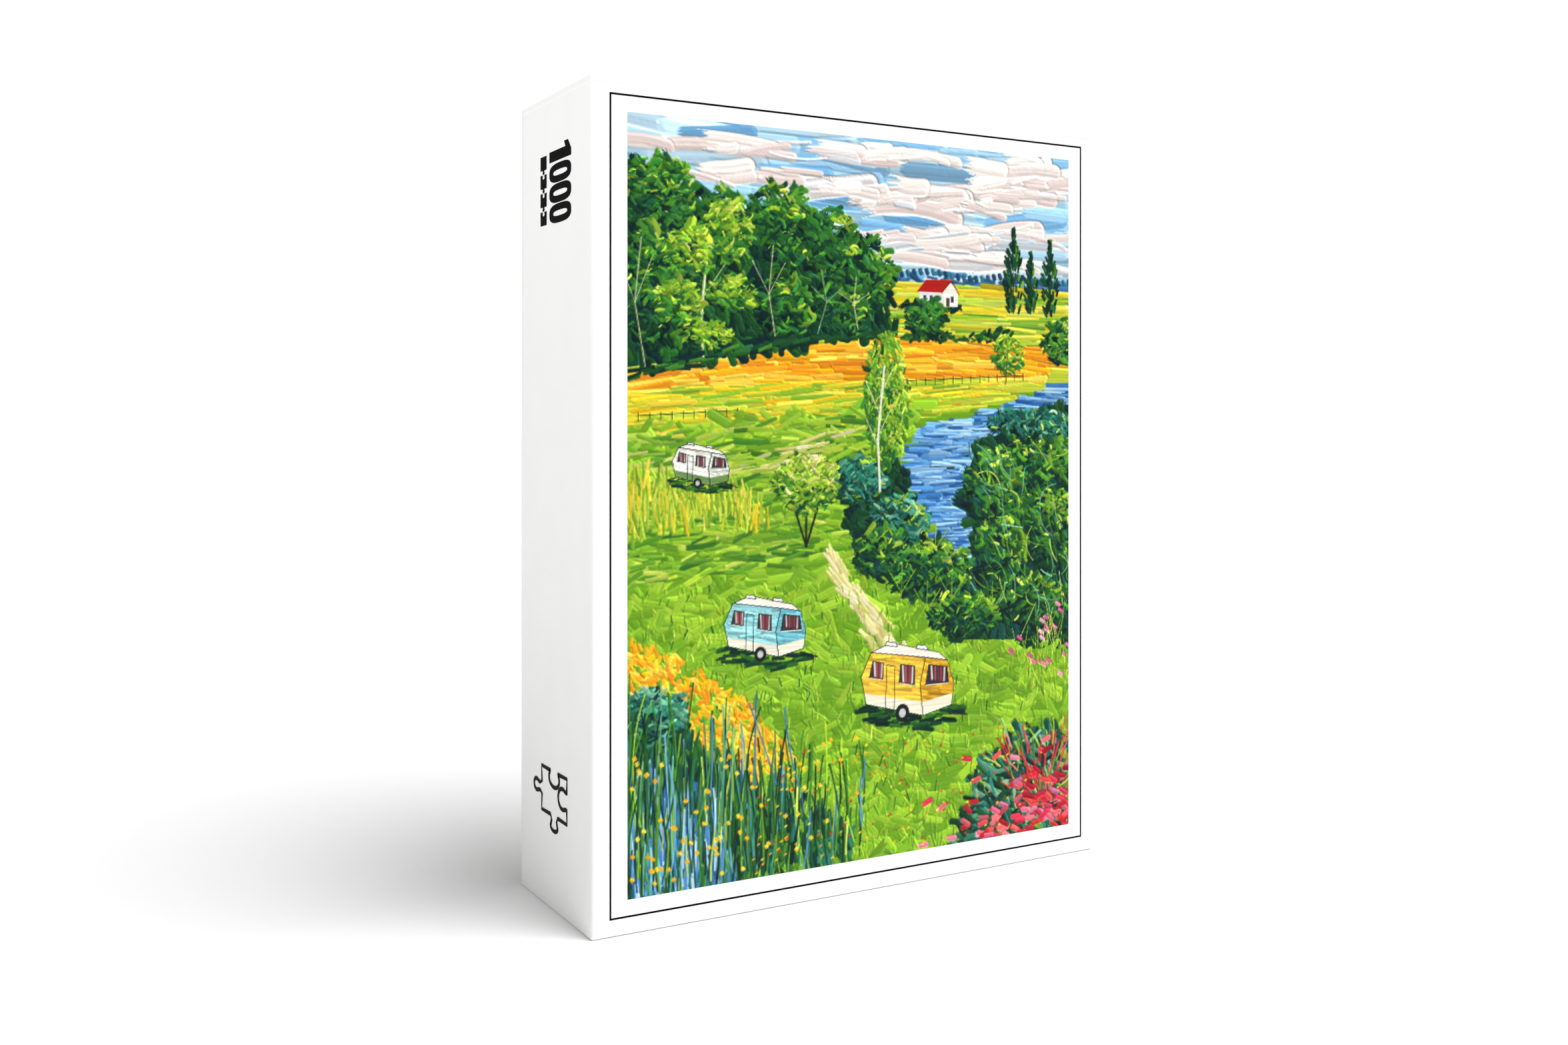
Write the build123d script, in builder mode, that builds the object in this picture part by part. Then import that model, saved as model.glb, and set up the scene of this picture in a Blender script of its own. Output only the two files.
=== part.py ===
from build123d import *
import math
import os
import random

# A boxed jigsaw puzzle of 1000 pieces, standing on its short end with the picture panel facing -Y.
# Millimetres, +Z up, +X to the right of the picture, origin in the middle of the end it stands on.
#
# The box is a full-telescope rigid box. A lid and a tray are each one scored greyboard blank whose
# four corners are held by gummed paper tape, and each is covered by one paper wrap that folds over
# the rim and is glued down inside. The tray holds a folded picture sheet and a film bag of pieces.

# Outside of the closed box
box_width = 210.0
box_depth = 68.0
box_height = 280.0

# Stock
board = 1.5
paper = 0.2  # wrap with its lamination and glue
tape = 0.12  # gummed corner tape, pressed into the board
film = 0.25  # bag film

# Fits
lid_clearance = 0.5  # between the lid's inside and the tray's outside, each side and at the panel
rim_step = 0.6  # the lid's rim stops this far short of the tray's back
corner_slit = 0.15  # where two walls of a blank meet

# Details of a wrapped board shell
fold_radius = 0.7  # outside folds of the board
turn_in = 18.0  # the wrap's flap inside the rim
tape_leg = 14.0
tape_inset = 3.0  # the tape stops short of the rim and of the panel

# Picture sheet, 350 x 490 mm, folded once across and once down
leaf_width = 175.0
leaf_height = 245.0
leaf = 0.2
leaf_gap = 0.4

# The puzzle: 25 columns by 40 rows, 500 x 700 mm when laid out
puzzle_columns = 25
puzzle_rows = 40
piece_width = 20.0
piece_height = 17.5
piece_thickness = 1.9
knob_reach = 4.4
knob_radius = 2.2
neck_radius = 0.6

# How the loose pieces lie in the bag: upright layers, one behind the other from the front
slot_columns = 9
slot_rows = 5
slot_width = 21.7
slot_height = 29.6
layer_pitch = 2.55
turn_jitter = 2.4  # degrees
shift_jitter = 0.15
layers_per_node = 2

# Bag around the pieces
bag_width = 199.0
bag_front = -28.4
bag_back = 32.0
bag_corner = 3.0
bag_shoulder = 155.0  # height up to which the pieces fill it
bag_neck = 200.0  # where the empty film has closed up
bag_neck_depth = 3.0
bag_neck_corner = 1.2
fin_height = 12.0  # crimped heat seal
fin_thickness = 0.8

# Worked out from the above. Each shell is given by its rim, its closed panel and its size.
middle = box_height / 2
lid_size = (box_width, box_height)
lid_rim = box_depth / 2 - rim_step
lid_panel = -box_depth / 2
tray_shrink = 2 * (2 * paper + board + lid_clearance)
tray_size = (box_width - tray_shrink, box_height - tray_shrink)
tray_rim = lid_panel + paper + board + lid_clearance
tray_panel = box_depth / 2
tray_floor = middle - tray_size[1] / 2 + 2 * paper + board  # upper side of the wall that it stands on

nudge = random.Random(25)


def wall_plane(y, inward):
    """The XZ plane at this depth, centred on the box, so that extrude goes along Y towards inward."""
    return Plane(origin=(0, y, middle), x_dir=(1, 0, 0), z_dir=(0, inward, 0))


def rounded_block(size, rim, panel, radius):
    """A block from rim to panel, with the panel's edges and the four corners rounded."""
    inward = math.copysign(1, panel - rim)
    with BuildPart() as block:
        with BuildSketch(wall_plane(rim, inward)):
            Rectangle(*size)
        extrude(amount=abs(panel - rim))
        closed_face = block.faces().sort_by(Axis.Y)[-1 if inward > 0 else 0]
        fillet(block.edges().filter_by(Axis.Y) + closed_face.edges(), radius)
    return block.part


def shrunk(size, by):
    """A rectangle's size with this much taken off each side."""
    return size[0] - 2 * by, size[1] - 2 * by


def tape_outline(size, plane):
    """Four L-shaped corner strips, flush with the outside of a rectangle of this size."""
    with BuildSketch(plane) as strips:
        with GridLocations(size[0] - tape_leg, size[1] - tape_leg, 2, 2):
            Rectangle(tape_leg, tape_leg)
        RectangleRounded(*size, fold_radius, mode=Mode.INTERSECT)
        RectangleRounded(*shrunk(size, tape), fold_radius - tape, mode=Mode.SUBTRACT)
    return strips.sketch


def corner_tapes(size, rim, panel):
    """The four tapes that hold the corners of a blank of this outside size, rim to panel."""
    inward = math.copysign(1, panel - rim)
    with BuildPart() as tapes:
        extrude(
            tape_outline(size, wall_plane(rim + inward * tape_inset, inward)),
            amount=abs(panel - rim) - 2 * tape_inset,
        )
    return tapes.part


def board_shell(size, rim, panel):
    """A scored greyboard blank, folded up: a panel and four walls that meet in slits at the corners."""
    inward = math.copysign(1, panel - rim)
    inside = shrunk(size, board)
    depth = abs(panel - rim)
    with BuildPart() as shell:
        add(rounded_block(size, rim, panel, fold_radius))
        with BuildSketch(wall_plane(rim, inward)):
            Rectangle(*inside)
        extrude(amount=depth - board, mode=Mode.SUBTRACT)
        with BuildSketch(wall_plane(rim, inward)):
            with GridLocations(inside[0] - corner_slit, inside[1] + board, 2, 2):
                Rectangle(corner_slit, board)
        extrude(amount=depth - board, mode=Mode.SUBTRACT)
        extrude(
            tape_outline(size, wall_plane(rim + inward * tape_inset, inward)),
            amount=depth - 2 * tape_inset,
            mode=Mode.SUBTRACT,
        )
    return shell.part


def paper_wrap(size, rim, panel):
    """The paper over a board shell: outside, over the rim and turned in against the inside walls."""
    inward = math.copysign(1, panel - rim)
    board_rim = rim + inward * paper
    board_size = shrunk(size, paper)
    inside = shrunk(board_size, board)
    with BuildPart() as wrap:
        add(rounded_block(size, rim, panel, fold_radius + paper))
        core = rounded_block(board_size, board_rim, panel - inward * paper, fold_radius)
        add(core, mode=Mode.SUBTRACT)
        with BuildSketch(wall_plane(rim, inward)):
            Rectangle(*inside)
        extrude(amount=paper, mode=Mode.SUBTRACT)
        with BuildSketch(wall_plane(rim, inward)):
            Rectangle(*inside)
            Rectangle(*shrunk(inside, paper), mode=Mode.SUBTRACT)
        extrude(amount=paper + turn_in)
    return wrap.part


def folded_sheet():
    """The picture sheet, folded to four leaves and standing on its last fold in the tray."""
    step = leaf + leaf_gap
    front = tray_rim + 1.0 + leaf / 2
    foot = tray_floor + 0.1
    bend_height = foot + leaf / 2 + 1.5 * step
    with BuildPart() as sheet:
        # The fold across the bottom: the inner two leaves turn inside the outer two
        with BuildSketch(Plane.YZ):
            for nest in (0, 1):
                near = front + nest * step
                far = front + (3 - nest) * step
                with BuildLine() as leaves:
                    Line((near, bend_height), (near, foot + leaf_height))
                    ThreePointArc(
                        (near, bend_height),
                        ((near + far) / 2, bend_height - (far - near) / 2),
                        (far, bend_height),
                    )
                    Line((far, bend_height), (far, foot + leaf_height))
                trace(leaves.line, line_width=leaf)
        extrude(amount=leaf_width / 2 - step / 2 - leaf / 2, both=True)
        # The fold down the right side joins each inner leaf to an outer one
        with BuildSketch(Plane.XY.offset(bend_height)):
            for pair in (0, 2):
                x = leaf_width / 2 - step / 2 - leaf / 2
                y = front + pair * step
                with BuildLine() as fold:
                    ThreePointArc((x, y), (x + step / 2, y + step / 2), (x, y + step))
                trace(fold.line, line_width=leaf)
        extrude(amount=leaf_height - (bend_height - foot))
    return sheet.part


def bag_body(shrink):
    """The bag's filled body and closing shoulder, taken in by shrink on every side."""
    width = bag_width - 2 * shrink
    depth = bag_back - bag_front - 2 * shrink
    centre = (bag_front + bag_back) / 2
    bottom = tray_floor + 0.1 + shrink
    with BuildPart() as body:
        with BuildSketch(Plane.XY.offset(bottom)):
            with Locations((0, centre)):
                RectangleRounded(width, depth, bag_corner - shrink)
        extrude(amount=bag_shoulder - bottom)
        fillet(body.faces().sort_by(Axis.Z)[0].edges(), bag_corner - shrink)
        with BuildSketch(Plane.XY.offset(bag_shoulder)):
            with Locations((0, centre)):
                RectangleRounded(width, depth, bag_corner - shrink)
        with BuildSketch(Plane.XY.offset(bag_neck - shrink)):
            with Locations((0, centre)):
                RectangleRounded(width, bag_neck_depth - 2 * shrink, bag_neck_corner - shrink)
        loft()
    return body.part


def film_bag():
    """The sealed bag, as a closed skin around the pieces with a flat crimped seal on top."""
    with BuildPart() as bag:
        add(bag_body(0))
        add(bag_body(film), mode=Mode.SUBTRACT)
        with BuildSketch(Plane.XY.offset(bag_neck)):
            with Locations((0, (bag_front + bag_back) / 2)):
                Rectangle(bag_width - 2 * bag_corner, fin_thickness)
        extrude(amount=fin_height)
    return bag.part


def cut_side(start, end, knob):
    """One cut from start to end. knob is 1 for a knob to the right of the way, -1 for a hole, 0 for none."""
    if knob == 0:
        Line(start, end)
        return
    way = Vector(*end) - Vector(*start)
    along = way.normalized()
    right = Vector(along.Y, -along.X) * knob

    def at(x, y):
        """The point x from the side's middle and y out from the side."""
        return Vector(*start) + along * (way.length / 2 + x) + right * y

    centre = knob_reach - knob_radius
    apart = knob_radius + neck_radius
    foot = math.sqrt(apart**2 - (centre - neck_radius) ** 2)
    share = knob_radius / apart
    touch = (foot * share, centre - (centre - neck_radius) * share)
    # Middle of the neck's arc, between the foot on the side and the point where it touches the knob
    towards = Vector(touch[0] - foot, touch[1] - 2 * neck_radius).normalized()
    bend = (foot + neck_radius * towards.X, neck_radius + neck_radius * towards.Y)
    Line(start, at(-foot, 0))
    ThreePointArc(at(-foot, 0), at(-bend[0], bend[1]), at(-touch[0], touch[1]))
    ThreePointArc(at(-touch[0], touch[1]), at(0, knob_reach), at(*touch))
    ThreePointArc(at(*touch), at(*bend), at(foot, 0))
    Line(at(foot, 0), end)


def cut_piece(knobs):
    """A die-cut piece lying in the XY plane. knobs are those of its lower, right, upper and left side."""
    x, y = piece_width / 2, piece_height / 2
    corners = [(-x, -y), (x, -y), (x, y), (-x, y)]
    with BuildPart() as piece:
        with BuildSketch():
            with BuildLine():
                for n in range(4):
                    cut_side(corners[n], corners[(n + 1) % 4], knobs[n])
            make_face()
        extrude(amount=piece_thickness)
    return piece.part


def piece_knobs(column, row):
    """The four sides of the piece at this place in the puzzle. Neighbours always take turns."""
    across = 1 if (column + row) % 2 == 0 else -1
    return (
        0 if row == 0 else -across,
        0 if column == puzzle_columns - 1 else across,
        0 if row == puzzle_rows - 1 else -across,
        0 if column == 0 else across,
    )


def slot_place(slot):
    """Where the piece in this slot of the bag stands: its layer, column and row, slightly askew."""
    layer, rest = divmod(slot, slot_columns * slot_rows)
    row, column = divmod(rest, slot_columns)
    x = (column - (slot_columns - 1) / 2) * slot_width + nudge.uniform(-shift_jitter, shift_jitter)
    z = tray_floor + 0.6 + film + (row + 0.5) * slot_height + nudge.uniform(-shift_jitter, shift_jitter)
    y = bag_front + film + 0.6 + layer * layer_pitch
    return Plane(origin=(x, y + piece_thickness, z), x_dir=(1, 0, 0), z_dir=(0, -1, 0))


def placed_piece(knobs, slot, shapes):
    """The piece with these sides, upright in its slot, longer way up and half of the time face down."""
    if knobs not in shapes:
        shapes[knobs] = cut_piece(knobs)
    wide = knobs[1] + knobs[3] > knobs[0] + knobs[2]
    turn = (90 if wide else 0) + 180 * nudge.randrange(2) + nudge.uniform(-turn_jitter, turn_jitter)
    turned = Rot(0, 0, turn) * shapes[knobs]
    if nudge.randrange(2):
        turned = Pos(0, 0, piece_thickness) * Rot(0, 180, 0) * turned
    return slot_place(slot).location * turned


def pieces_in_bag():
    """All pieces by node. Corner and border pieces fill the front layers, the rest follow two layers a node."""
    corners, border, inner = [], [], []
    for row in range(puzzle_rows):
        for column in range(puzzle_columns):
            knobs = piece_knobs(column, row)
            (inner, border, corners)[knobs.count(0)].append(knobs)
    for kind in (border, inner):
        nudge.shuffle(kind)
    a_layer = slot_columns * slot_rows
    shapes = {}
    nodes = {"corner_pieces": [placed_piece(k, n, shapes) for n, k in enumerate(corners)]}
    nodes["border_pieces"] = [placed_piece(k, len(corners) + n, shapes) for n, k in enumerate(border)]
    first = math.ceil((len(corners) + len(border)) / a_layer) * a_layer
    in_a_node = layers_per_node * a_layer
    for start in range(0, len(inner), in_a_node):
        name = f"inner_pieces_{start // in_a_node + 1:02d}"
        some = inner[start : start + in_a_node]
        nodes[name] = [placed_piece(k, first + start + n, shapes) for n, k in enumerate(some)]
    return nodes


def write(part, name):
    part.label = name
    export_step(part, f"parts/{name}.step")


os.makedirs("parts", exist_ok=True)

for name, size, rim, panel in (
    ("lid", lid_size, lid_rim, lid_panel),
    ("tray", tray_size, tray_rim, tray_panel),
):
    way_in = math.copysign(1, panel - rim)
    blank = (shrunk(size, paper), rim + way_in * paper, panel - way_in * paper)
    write(board_shell(*blank), f"{name}_board")
    write(corner_tapes(*blank), f"{name}_corner_tapes")
    write(paper_wrap(size, rim, panel), f"{name}_wrap")

write(folded_sheet(), "picture_sheet")
write(film_bag(), "piece_bag")

for name, some in pieces_in_bag().items():
    write(Compound(children=some), name)
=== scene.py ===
import math
import bpy
import bmesh
import numpy as np
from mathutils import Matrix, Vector, noise


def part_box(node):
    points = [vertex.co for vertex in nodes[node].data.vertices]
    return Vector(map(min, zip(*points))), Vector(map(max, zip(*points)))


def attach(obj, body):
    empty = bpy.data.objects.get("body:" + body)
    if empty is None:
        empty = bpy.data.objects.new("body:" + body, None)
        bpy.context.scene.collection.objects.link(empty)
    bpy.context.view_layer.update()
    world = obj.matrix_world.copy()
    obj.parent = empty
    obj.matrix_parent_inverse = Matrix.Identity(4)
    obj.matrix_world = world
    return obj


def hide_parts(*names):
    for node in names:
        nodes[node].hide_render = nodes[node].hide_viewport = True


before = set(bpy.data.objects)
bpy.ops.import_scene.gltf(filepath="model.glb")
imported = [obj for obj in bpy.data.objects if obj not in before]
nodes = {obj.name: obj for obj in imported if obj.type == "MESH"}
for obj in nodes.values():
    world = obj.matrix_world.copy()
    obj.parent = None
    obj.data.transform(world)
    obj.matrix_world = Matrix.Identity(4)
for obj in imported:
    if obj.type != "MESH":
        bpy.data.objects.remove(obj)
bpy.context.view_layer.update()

print("frame loaded:", len(nodes), "nodes")

# cover picture
# x runs from 0 to 1 across the picture and y down from 0, both in picture widths

picture = {
    "width": 0.185,
    "height": 0.257,
    "pitch": 0.00035,
    "seed": 41,
    "impasto": 0.15,
    "depth": 1.2,
}
skyBlues = ["#8fc0e2", "#a9d0e8", "#c2dcea", "#7db3da", "#b5d3e2"]
cloudWhites = ["#f6f0e8", "#ece2dc", "#e6d6d2", "#fbf8f2", "#dfe4e8"]
hillBlues = ["#33618f", "#4a7ca8", "#5f8fb2", "#2c5474", "#3d7488"]
fieldYellows = ["#f0d83c", "#f4e46a", "#d9cf3e", "#c3cf48", "#e8c22e"]
fieldGolds = ["#f3b022", "#f8c83a", "#ec9e28", "#fbdc60", "#e29428"]
fieldGreens = ["#9fc43c", "#86b23a", "#bcd450", "#6a9c38", "#ccd868"]
meadowGreens = ["#78a82c", "#8fbc36", "#5c942c", "#a8cc46", "#477f30"]
darkGreens = ["#16402e", "#1d5034", "#12363a", "#2a5f34", "#0f3030"]
midGreens = ["#34742f", "#4c8a34", "#2a6238", "#5f9c38", "#3a7846"]
limeLeaves = ["#98bc34", "#b4cf42", "#7aa232", "#d2dd68", "#6a9c38"]
tealLeaves = ["#2f7a68", "#3f8f78", "#215a54", "#69a88c", "#8fc0a0"]
riverBlues = ["#4682bc", "#649ed2", "#92bee2", "#346aa6", "#bcdaee"]
pathCreams = ["#e6dcae", "#d8cf90", "#efe6c4", "#cfc97e"]
flowerReds = ["#c42f34", "#e0524a", "#a82436", "#e87f86", "#d8405c"]
flowerPinks = ["#e88fb4", "#d8649a", "#f0b4c8"]
flowerYellows = ["#f6c81e", "#fbe05a", "#f0a81c"]
inkDark = "#20302c"


def rgb(colour):
    return np.array([int(colour[n : n + 2], 16) / 255 for n in (1, 3, 5)])


def ramp(low, high, value):
    share = np.clip((value - low) / (high - low), 0, 1)
    return share * share * (3 - 2 * share)


def within(points, x, y):
    # even-odd test of many places against one outline
    hit = np.zeros(np.broadcast(x, y).shape, bool)
    for (ax, ay), (bx, by) in zip(points, points[1:] + points[:1]):
        if ay != by:
            hit ^= ((ay > y) != (by > y)) & (x < (bx - ax) * (y - ay) / (by - ay) + ax)
    return hit


class Canvas:
    def __init__(self, spec):
        self.luck = np.random.default_rng(spec["seed"])
        self.columns = round(spec["width"] / spec["pitch"])
        self.rows = round(spec["height"] / spec["pitch"])
        self.tall = self.rows / self.columns
        self.colour = np.ones((self.rows, self.columns, 3))
        self.height = np.zeros((self.rows, self.columns))
        hairs = self.luck.random((48, 32))
        self.hairs = (hairs + np.roll(hairs, 1, 1) + np.roll(hairs, 2, 1)) / 3

    def patch(self, x, y, reachX, reachY):
        left, right = (int(np.clip(p * self.columns, 0, self.columns)) for p in (x - reachX, x + reachX))
        top, bottom = (int(np.clip(p * self.columns, 0, self.rows)) for p in (y - reachY, y + reachY))
        across = (np.arange(left, right) + 0.5) / self.columns
        down = (np.arange(top, bottom)[:, None] + 0.5) / self.columns
        return slice(top, bottom), slice(left, right), across, down

    def stroke(self, x, y, length, width, angle, colour, bend=0.0, dry=0.3, body=1.0, inside=None):
        half, thick = length / 2, width / 2
        c, s = math.cos(angle), math.sin(angle)
        reach = abs(bend) * half + 2 / self.columns
        rows, cols, px, py = self.patch(
            x, y, abs(c) * half + abs(s) * thick + reach, abs(s) * half + abs(c) * thick + reach
        )
        if rows.start >= rows.stop or cols.start >= cols.stop:
            return
        along = ((px - x) * c + (py - y) * s) / half
        across = ((py - y) * c - (px - x) * s - bend * half * (along**2 - 0.3)) / thick
        hairs = self.hairs[self.luck.integers(48)]
        hair = hairs[np.clip((across + 1) * 16, 0, 31).astype(int)]
        soft = min(1.0, 1.3 / (thick * self.columns))
        past = np.maximum(abs(along) * half / thick - half / thick + 1, 0)
        cover = np.clip((1 - np.hypot(past, across)) / soft, 0, 1)
        # the paint runs out towards the stroke's end, hair by hair
        spent = 1.6 * dry * hair * (1 + along) * min(half / thick, 2.5)
        run = (1 - abs(along)) * half / thick * 1.4 + 1 - spent
        cover = (cover * np.clip(run, 0, 1))[..., None]
        if inside:
            cover *= within(inside, px, py)[..., None]
        spot = self.colour[rows, cols]
        spot += cover * (colour * (0.93 + 0.14 * hair[..., None]) - spot)
        rise = body * thick * (0.5 + 0.25 * hair + 0.5 * ramp(0.35, 0.95, np.hypot(past, across)))
        relief = self.height[rows, cols]
        relief += cover[..., 0] * (rise - relief * 0.85)

    def pick(self, colours, drift=0.05):
        first, second = self.luck.choice(len(colours), 2)
        share = self.luck.random() ** 2
        mixed = rgb(colours[first]) * (1 - share) + rgb(colours[second]) * share
        return mixed * (1 + self.luck.normal(0, drift))

    def fill(self, outline, colours, count, length, width, angle=0.0, turn=0.12, **more):
        # scatters strokes over an outline, the longer ones first
        points = np.array(outline)
        low, high = points.min(0), points.max(0)
        spots = self.luck.uniform(low, high, (count * 4, 2))
        spots = spots[within(outline, spots[:, 0], spots[:, 1])][:count]
        for n, (x, y) in enumerate(spots):
            late = n / max(len(spots), 1)
            size = (1.25 - 0.5 * late) * self.luck.uniform(0.7, 1.3)
            tilt = angle(x, y) if callable(angle) else angle
            tilt += self.luck.normal(0, turn)
            self.stroke(x, y, length * size, width * size, tilt, self.pick(colours), **more)

    def shape(self, outline, colour, streak=0.03):
        # one flat area with soft edges and faint streaks
        points = np.array(outline)
        low, high = points.min(0), points.max(0)
        middle, reach = (low + high) / 2, (high - low) / 2 + 2 / self.columns
        rows, cols, px, py = self.patch(*middle, *reach)
        if rows.start >= rows.stop or cols.start >= cols.stop:
            return
        gap = np.full(np.broadcast(px, py).shape, 1e9)
        for (ax, ay), (bx, by) in zip(outline, outline[1:] + outline[:1]):
            wide, deep = bx - ax, by - ay
            share = np.clip(((px - ax) * wide + (py - ay) * deep) / (wide**2 + deep**2 + 1e-12), 0, 1)
            gap = np.minimum(gap, np.hypot(px - ax - share * wide, py - ay - share * deep))
        signed = np.where(within(outline, px, py), gap, -gap) * self.columns
        cover = np.clip(signed + 0.5, 0, 1)[..., None]
        grain = self.luck.normal(0, streak, (gap.shape[0], 1, 1))
        grain = grain + self.luck.normal(0, streak / 3, gap.shape)[..., None]
        spot = self.colour[rows, cols]
        spot += cover * (rgb(colour) * (1 + grain) - spot)
        relief = self.height[rows, cols]
        relief += cover[..., 0] * (0.004 - relief)

    def line(self, points, width, colour, **more):
        for (ax, ay), (bx, by) in zip(points, points[1:]):
            self.stroke(
                (ax + bx) / 2,
                (ay + by) / 2,
                math.hypot(bx - ax, by - ay) + width,
                width,
                math.atan2(by - ay, bx - ax),
                rgb(colour) if isinstance(colour, str) else colour,
                **{"dry": 0.0, "body": 0.6, **more},
            )

    def crown(self, x, y, wide, tall, shades, count, leaf=0.016, lean=0.0):
        # a tree crown or bush: dark inside, lighter towards the upper left
        for n in range(int(count * 1.9)):
            late = n / count / 1.9
            turn, out = self.luck.uniform(0, 2 * math.pi), math.sqrt(self.luck.random())
            px = x + wide * out * math.cos(turn)
            py = y + tall * out * math.sin(turn)
            lit = -0.5 * out * math.cos(turn) - 0.75 * out * math.sin(turn) + self.luck.normal(0, 0.35)
            level = (0.08 + 0.3 * lit + 0.62 * late + (0.3 if self.luck.random() < 0.08 else 0)) * len(shades)
            tone = shades[int(np.clip(level, 0, len(shades) - 1))]
            size = leaf * self.luck.uniform(0.5, 1.3) * (1.6 - late * 1.05)
            tilt = lean + self.luck.uniform(-1.1, 1.1)
            bend = self.luck.normal(0, 0.25)
            self.stroke(
                px, py, size * 1.8, size * 0.6, tilt, self.pick(tone, 0.14), bend=bend, dry=0.6, body=0.7
            )

    def finished(self, impasto):
        # lights the paint's relief from the upper left and returns the colours, top row first
        down, across = np.gradient(self.height * self.columns)
        shade = np.clip(-(across + down) * impasto, -0.3, 0.3)
        lit = self.colour * (1 + shade[..., None] * 0.9) + np.clip(shade, 0, 1)[..., None] * 0.12
        return np.clip(lit, 0.02, 0.98)


def baseCoat(art):
    for outline, colour in (
        ([(0, 0), (1, 0), (1, 0.32), (0, 0.32)], skyBlues[1]),
        ([(0, 0.27), (1, 0.27), (1, 0.58), (0, 0.5)], fieldYellows[3]),
        ([(0, 0.48), (1, 0.54), (1, 1.4), (0, 1.4)], meadowGreens[0]),
        ([(0, 0.48), (0.4, 0.6), (0.3, 1), (0, 1.02)], darkGreens[0]),
    ):
        art.shape(outline, colour)


def paintSky(art):
    art.fill([(0, 0), (1, 0), (1, 0.32), (0, 0.32)], skyBlues, 420, 0.24, 0.045, turn=0.07, body=0.4)
    art.fill(
        [(0, 0.17), (1, 0.16), (1, 0.28), (0, 0.27)], skyBlues[2:] + cloudWhites[4:], 150, 0.2, 0.02,
        turn=0.04, body=0.5,
    )
    banks = [
        (0.13, 0.065, 0.17, 0.034, 34),
        (0.34, 0.115, 0.2, 0.016, 16),
        (0.5, 0.03, 0.3, 0.014, 18),
        (0.66, 0.095, 0.24, 0.016, 20),
        (0.85, 0.045, 0.18, 0.01, 10),
        (0.16, 0.165, 0.13, 0.012, 12),
        (0.45, 0.185, 0.22, 0.009, 12),
        (0.22, 0.225, 0.3, 0.007, 12),
    ]
    for x, y, wide, tall, count in banks:
        for n in range(count):
            px, py = x + art.luck.normal(0, wide * 0.5), y + art.luck.normal(0, tall * 0.6)
            under = py > y + tall * 0.3
            art.stroke(
                px,
                py,
                art.luck.uniform(0.05, 0.22) * (1.3 - n / count * 0.6),
                art.luck.uniform(0.01, 0.038) * (1.4 - n / count * 0.9),
                art.luck.normal(0.04, 0.1),
                art.pick(cloudWhites[1:3] + cloudWhites[4:] if under else cloudWhites[:4], 0.02),
                bend=art.luck.normal(0, 0.08),
                dry=0.9,
                body=0.55,
            )


def paintFields(art):
    ridge = [(0, 0.264), (0.1, 0.254), (0.22, 0.261), (0.34, 0.25), (0.5, 0.257), (1, 0.25)]
    art.fill(ridge + [(1, 0.29), (0, 0.29)], hillBlues, 200, 0.04, 0.01, turn=0.3)
    for x in np.arange(0.0, 0.5, 0.015):
        art.stroke(x, 0.256 + 0.005 * math.sin(x * 31), 0.018, 0.012, -1.2, art.pick(hillBlues[3:], 0.1))
    art.fill(
        [(0, 0.276), (1, 0.27), (1, 0.42), (0, 0.42)], fieldYellows + fieldGreens, 420, 0.13, 0.011,
        turn=0.04,
    )
    stripes = (
        (0.283, fieldYellows), (0.3, fieldGreens), (0.318, fieldYellows), (0.345, fieldGreens),
        (0.37, fieldYellows),
    )
    for y, colours in stripes:
        for x in np.arange(0, 1.05, 0.07):
            art.stroke(x, y + 0.004 * math.sin(x * 9), 0.12, 0.009, 0.02, art.pick(colours), body=1.2)
    gold = [
        (0.03, 0.41), (0.2, 0.388), (0.5, 0.392), (0.8, 0.43), (1, 0.468), (1, 0.495), (0.7, 0.47),
        (0.4, 0.462), (0.12, 0.46),
    ]
    art.fill(gold, fieldGolds, 460, 0.11, 0.014, angle=lambda x, y: 0.25 * (x - 0.4), turn=0.05, body=1.2)
    art.fill(
        [(0.1, 0.46), (0.5, 0.466), (1, 0.494), (1, 0.58), (0.5, 0.55), (0.2, 0.51)],
        fieldYellows + fieldGreens[:2],
        330,
        0.1,
        0.011,
        angle=0.06,
        turn=0.05,
    )
    for start, end, y in ((0.12, 0.42, 0.462), (0.78, 1.0, 0.535)):
        posts = [(x, y + 0.05 * (x - start)) for x in np.arange(start, end, 0.022)]
        art.line([(x, y - 0.01) for x, y in posts], 0.0022, inkDark)
        for x, y in posts:
            art.line([(x, y), (x, y - 0.014)], 0.0026, inkDark)


def paintHouse(art, x, y, size):
    def at(*pairs):
        return [(x + size * a, y + size * b) for a, b in pairs]

    art.crown(x + size * 0.75, y, size * 0.8, size * 0.14, [darkGreens, midGreens], 40, 0.012)
    art.shape(at((0, 0), (0, -0.34), (0.2, -0.56), (0.42, -0.34), (0.42, 0)), "#f4efe6")
    art.shape(at((0.42, 0), (0.42, -0.34), (1.1, -0.34), (1.1, 0)), "#e6e4e2")
    art.shape(at((0.16, -0.62), (0.9, -0.6), (1.16, -0.32), (0.46, -0.32)), "#b62a26")
    art.line(at((-0.04, -0.3), (0.18, -0.62), (0.46, -0.32)), size * 0.05, "#8f1f20")
    art.line(at((0.18, -0.61), (0.9, -0.6)), size * 0.04, "#d8503c")
    for a in (0.12, 0.55, 0.72, 0.9):
        art.shape(at((a, -0.1), (a, -0.24), (a + 0.08, -0.24), (a + 0.08, -0.1)), "#3a4a5a")
    art.shape(at((0.24, 0), (0.24, -0.2), (0.33, -0.2), (0.33, 0)), "#5a4632")


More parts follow.
